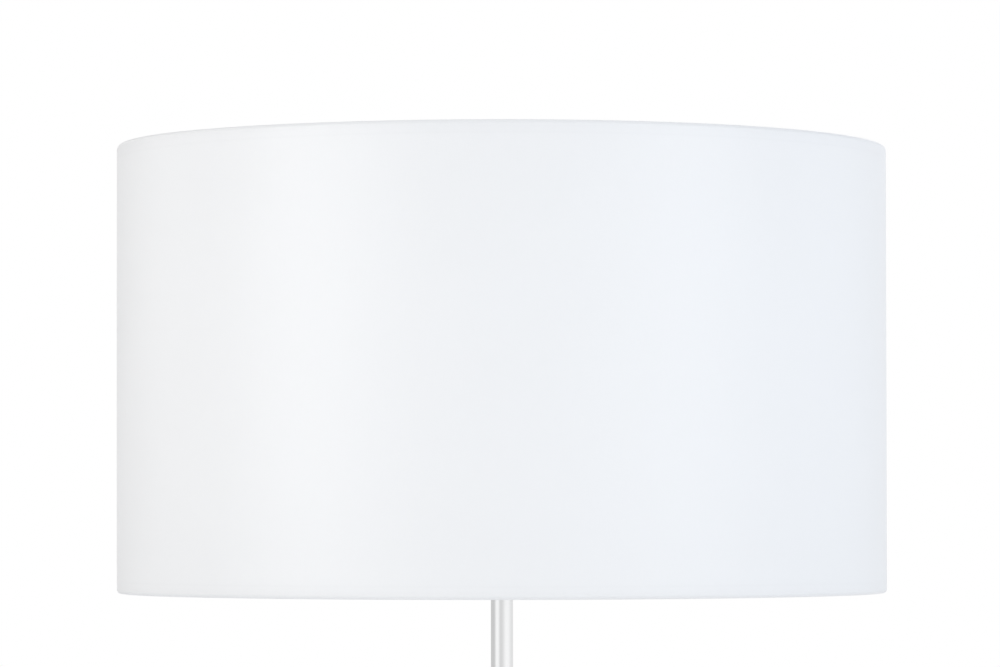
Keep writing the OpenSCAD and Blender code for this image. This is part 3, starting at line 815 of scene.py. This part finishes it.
def tangent(outline, i):
    """The curve's direction at point i of the outline, or None at a corner."""
    if 0 < i < len(outline) - 1:
        a, b, c = outline[i - 1 : i + 2]
    elif outline[0] == outline[-1]:
        a, b, c = outline[-2], outline[0], outline[1]
    elif outline[i][0] < TINY:
        # over the axis the outline goes on as its own mirror image
        r, z = outline[1 if i == 0 else -2]
        side = 1 if i == 0 else -1
        a, b, c = (-side * r, z), outline[i], (side * r, z)
    else:
        return None
    if corner(a, b, c) > SHARP_CORNER:
        return None
    before, after = math.dist(a, b), math.dist(b, c)
    if max(before, after) > FLAT_RUN * min(before, after):
        return direction(a, b) if before > after else direction(b, c)
    return direction(a, c)


def smoothed(outline):
    """The outline with a smooth curve through its points, broken at its corners and
    led by its long flat runs."""
    outline = without_straights(outline)
    points = [outline[0]]
    for i, (p, q) in enumerate(zip(outline, outline[1:])):
        size = math.dist(p, q)
        out = tangent(outline, i) or direction(p, q)
        into = tangent(outline, i + 1) or direction(p, q)
        for k in range(1, CURVE_STEPS + 1):
            t = k / CURVE_STEPS
            by_p, by_out = 2 * t**3 - 3 * t**2 + 1, t**3 - 2 * t**2 + t
            by_q, by_into = 3 * t**2 - 2 * t**3, t**3 - t**2
            r, z = (
                by_p * p[j] + by_out * size * out[j] + by_q * q[j] + by_into * size * into[j]
                for j in (0, 1)
            )
            points.append((r, z))
    return points


def stand_in(name, mesh, node, body):
    """A smooth-shaded piece that stands for the CAD node, broken at its sharp edges."""
    smooth(mesh)
    mesh.set_sharp_from_angle(angle=SHARP_EDGE)
    mesh.materials.clear()
    mesh.materials.append(MATERIALS[SLOTS[node]])
    piece = linked(name, mesh)
    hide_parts(node)
    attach(piece, body)
    return piece


def make_turned(name, node, body, turns=TURNS):
    """A finely turned piece of the CAD node's own outline, which stands for the node."""
    outline = smoothed(section(node))
    closed = outline[0] == outline[-1]
    if closed:
        outline = outline[:-1]
    else:
        (r_from, z_from), (r_to, z_to) = outline[0], outline[-1]
        if r_from > TINY:
            outline = [(0.0, z_from)] + outline
        if r_to > TINY:
            outline = outline + [(0.0, z_to)]
    built = bmesh.new()
    rings = []
    for r, z in outline:
        if r < TINY:
            rings.append([built.verts.new((0, 0, z))] * turns)
            continue
        ring = []
        for i in range(turns):
            a = 2 * math.pi / turns * i
            ring.append(built.verts.new((r * math.cos(a), r * math.sin(a), z)))
        rings.append(ring)
    for low, high in zip(rings, rings[1:] + rings[:1] if closed else rings[1:]):
        for i in range(turns):
            j = (i + 1) % turns
            around = list(dict.fromkeys((low[i], low[j], high[j], high[i])))
            if len(around) > 2:
                built.faces.new(around)
    bmesh.ops.recalc_face_normals(built, faces=built.faces)
    mesh = bpy.data.meshes.new(name)
    built.to_mesh(mesh)
    built.free()
    return stand_in(name, mesh, node, body)


def make_formed(name, node, body):
    """The CAD node's own shape, its narrow flats shaded as the curves they stand for."""
    built = bmesh.new()
    built.from_mesh(nodes[node].data)
    bmesh.ops.remove_doubles(built, verts=built.verts, dist=TINY)
    bmesh.ops.dissolve_degenerate(built, edges=built.edges, dist=TINY)
    mesh = bpy.data.meshes.new(name)
    built.to_mesh(mesh)
    built.free()
    normals = mesh.attributes.get("custom_normal")
    if normals:
        mesh.attributes.remove(normals)
    piece = stand_in(name, mesh, node, body)
    weigh = piece.modifiers.new("face weights", "WEIGHTED_NORMAL")
    weigh.keep_sharp = True
    return piece


def drill(piece, centre, radius):
    """Cuts a round hole along Y through the piece."""
    built = bmesh.new()
    bmesh.ops.create_cone(
        built,
        cap_ends=True,
        segments=HOLE_SIDES,
        radius1=radius,
        radius2=radius,
        depth=HOLE_DEPTH,
        matrix=Matrix.Translation(centre) @ Matrix.Rotation(math.pi / 2, 4, "X"),
    )
    bit = linked("drill", bpy.data.meshes.new("drill"))
    built.to_mesh(bit.data)
    built.free()
    cut = piece.modifiers.new("hole", "BOOLEAN")
    cut.object = bit
    cut.solver = "EXACT"
    whole = piece.data
    drilled = piece.evaluated_get(bpy.context.evaluated_depsgraph_get())
    piece.data = bpy.data.meshes.new_from_object(drilled)
    piece.data.set_sharp_from_angle(angle=SHARP_EDGE)
    piece.modifiers.clear()
    bpy.data.meshes.remove(whole)
    bpy.data.meshes.remove(bit.data)


def make_cover():
    """The domed base, with a hole in its side for the cord's grommet."""
    cover = make_turned("spun_cover", "base_cover", "lamp", COVER_TURNS)
    low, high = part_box("cord_grommet")
    drill(cover, (low + high) / 2, (high.z - low.z) / 2 - GROMMET_FLANGE + HOLE_PLAY)


for piece_node_body in TURNED:
    make_turned(*piece_node_body)
make_cover()
for piece_node_body in FORMED:
    make_formed(*piece_node_body)


# ---------------------------------------------------------------------------
# Stage: floor, world and lamps
# ---------------------------------------------------------------------------

# the floor, and how far from its middle each change on it begins and ends
FLOOR_RADIUS = 6.0
FLOOR_Z = -0.1 * MM
FLOOR_SIDES = 96
FLOOR_PAINT = (0.92, 0.92, 0.92, 1)
UNDER_PAD = 1.5 * MM
FADES_TO_WHITE = (0.7, 2.1)
SHOWS_CARDS = (0.15, 0.7)
CARDS_BRIGHTEN = (0.3, 5.5)
NEAR_CARDS = 0.80
# the room: how bright it is, and the elevations in degrees over which that changes
AMBIENT = 1.125
ROOM_WHITE = 1.03
CEILING = 0.66
CEILING_RISES = (25, 62)
SEEN_CEILING = 0.50
SEEN_CEILING_RISES = (7, 24)
# where the cards would meet overhead the mirrored ceiling has one even tone
CROWN = 0.85
CROWN_RISES = (35, 65)
# grey cards in the room, in degrees: 0 towards the camera, growing to the right
FLAGS = [
    ((-194, -164, -93, -56), 0.38),
    ((-43, -16, -8, 46), 0.27),
    ((62, 118, 190, 200), 0.19),
]
COOL_FROM, COOL_TO = math.radians(-45), math.radians(60)
NEUTRAL_LIGHT = (1.010, 1.006, 1.003)
COOL_LIGHT = (0.920, 0.970, 1.048)
# soft boxes: degrees right of the camera, height, distance, width and height, watts,
# colour, and whether gloss shows them
LAMPS = {
    "key": (-58, 2.15, 2.9, (1.4, 1.4), 12.3, (1.0, 0.995, 0.985), True),
    "fill": (52, 2.1, 2.9, (1.6, 1.4), 8.6, (0.90, 0.95, 1.0), True),
    "left": (-112, 2.1, 2.9, (1.2, 1.4), 3.6, (1.0, 1.0, 1.01), True),
    "right": (112, 2.1, 2.9, (1.2, 1.4), 1.9, (0.93, 0.97, 1.03), True),
    "back": (165, 2.5, 3.0, (1.6, 1.4), 5, (1.0, 1.0, 1.0), True),
    "bounce": (0, 0.25, 2.3, (2.6, 0.9), 3.0, (0.98, 0.99, 1.0), False),
}


def flag(tree, azimuth, edges, depth):
    """A grey card hung in the room: depth between its two soft edges, 0 outside.
    edges are the degrees where it begins, is full, is full still, and has ended."""
    start, full, still, ended = (math.radians(edge) for edge in edges)
    rise = span(tree, azimuth, start, full, 0, 1)
    fall = span(tree, azimuth, still, ended, depth, 0)
    return maths(tree, "MULTIPLY", rise, fall)


def room(tree, vector):
    """Azimuth, brightness and height of the room in the direction of the vector."""
    parts = add(tree, "ShaderNodeSeparateXYZ", {"Vector": vector})
    back = maths(tree, "MULTIPLY", parts.outputs["Y"], -1.0)
    azimuth = maths(tree, "ARCTAN2", parts.outputs["X"], back)
    level = ROOM_WHITE
    for edges, depth in FLAGS:
        level = maths(tree, "SUBTRACT", level, flag(tree, azimuth, edges, depth))
    return azimuth, level, parts.outputs["Z"]


def floor_mesh():
    """A flat ring from just under the pad's edge out to the room."""
    pad_low, pad_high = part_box("base_pad")
    hole = (pad_high.x - pad_low.x) / 2 - UNDER_PAD
    vertices = []
    for radius in (hole, FLOOR_RADIUS):
        for i in range(FLOOR_SIDES):
            a = 2 * math.pi * i / FLOOR_SIDES
            vertices.append((radius * math.cos(a), radius * math.sin(a), FLOOR_Z))
    faces = []
    for i in range(FLOOR_SIDES):
        j = (i + 1) % FLOOR_SIDES
        faces.append((i, FLOOR_SIDES + i, FLOOR_SIDES + j, j))
    mesh = bpy.data.meshes.new("floor")
    mesh.from_pydata(vertices, [], faces)
    return mesh


def make_floor():
    """Pale matt floor that fades into the white room. Gloss sees the room's cards go on
    across it, and from below it is clear, with a hole under the pad for light."""
    floor = linked("floor", floor_mesh())
    made, tree, shader = material("floor")
    wire_up(tree, shader, Base_Color=FLOOR_PAINT, Roughness=0.9, Specular_IOR_Level=0.1)
    where = add(tree, "ShaderNodeTexCoord").outputs["Object"]
    length = add(tree, "ShaderNodeVectorMath", {0: where}, operation="LENGTH")
    away = length.outputs["Value"]
    path = add(tree, "ShaderNodeLightPath").outputs
    whiter = span(tree, away, *FADES_TO_WHITE, 0, 1)
    far = maths(tree, "MULTIPLY", whiter, path["Is Camera Ray"])
    seen = shaded(tree, far, shader.outputs["BSDF"], shining(tree, "Emission", 1.0))
    dimming = span(tree, away, *CARDS_BRIGHTEN, NEAR_CARDS, 1.0)
    level = maths(tree, "MULTIPLY", room(tree, where)[1], dimming)
    shown = span(tree, away, *SHOWS_CARDS, 0, 1)
    gloss = maths(tree, "MULTIPLY", shown, path["Is Glossy Ray"])
    top = shaded(tree, gloss, seen, shining(tree, "Emission", level))
    below = add(tree, "ShaderNodeNewGeometry").outputs["Backfacing"]
    clear = add(tree, "ShaderNodeBsdfTransparent").outputs["BSDF"]
    both = shaded(tree, below, top, clear)
    tree.links.new(both, tree.nodes["Material Output"].inputs["Surface"])
    floor.data.materials.append(made)


def climb(tree, height, elevations, low, high):
    """From low to high, as a direction of this height climbs between two elevations."""
    start, end = (math.sin(math.radians(elevation)) for elevation in elevations)
    return span(tree, height, start, end, low, high)


def make_world():
    """White to the camera. Light and gloss come from a white room with grey cards in
    it. Gloss sees a darker ceiling than the light has, and one even tone at its crown,
    and the light is cooler from the right."""
    world = bpy.data.worlds.new("studio")
    bpy.context.scene.world = world
    world.use_nodes = True
    tree = world.node_tree
    tree.nodes.clear()
    way = add(tree, "ShaderNodeTexCoord").outputs["Generated"]
    azimuth, level, height = room(tree, way)
    path = add(tree, "ShaderNodeLightPath").outputs
    mirror = maths(tree, "MAXIMUM", path["Is Glossy Ray"], path["Is Transmission Ray"])
    lights = climb(tree, height, CEILING_RISES, 1, CEILING)
    shines = climb(tree, height, SEEN_CEILING_RISES, 1, SEEN_CEILING)
    crown = maths(tree, "MULTIPLY", climb(tree, height, CROWN_RISES, 0, 1), mirror)
    level = between(tree, crown, level, CROWN)
    level = maths(tree, "MULTIPLY", level, between(tree, mirror, lights, shines))
    level = maths(tree, "MULTIPLY", level, span(tree, mirror, 0, 1, AMBIENT, 1.0))
    cool = span(tree, azimuth, COOL_FROM, COOL_TO, 0, 1)
    cool = maths(tree, "MULTIPLY", cool, maths(tree, "SUBTRACT", 1.0, mirror))
    lit = shining(tree, "Background", level, tint(tree, cool, NEUTRAL_LIGHT, COOL_LIGHT))
    sky = shaded(tree, path["Is Camera Ray"], lit, shining(tree, "Background", 1.0))
    out = add(tree, "ShaderNodeOutputWorld")
    tree.links.new(sky, out.inputs["Surface"])


def make_lamp(name, azimuth, height, distance, size, power, colour, mirrored):
    """A soft box that faces the shade's middle."""
    data = bpy.data.lights.new(name, "AREA")
    data.shape = "RECTANGLE"
    data.size, data.size_y = size
    data.energy = power
    data.color = colour
    lamp = linked(name, data)
    a = math.radians(azimuth)
    lamp.location = (distance * math.sin(a), -distance * math.cos(a), height)
    aim = Vector((0, 0, (HEM_Z + RIM_Z) / 2)) - lamp.location
    lamp.rotation_euler = aim.to_track_quat("-Z", "Y").to_euler()
    lamp.visible_camera = False
    lamp.visible_glossy = mirrored


make_floor()
make_world()
for lamp_name, settings in LAMPS.items():
    make_lamp(lamp_name, *settings)

bpy.context.scene.view_settings.view_transform = "Standard"
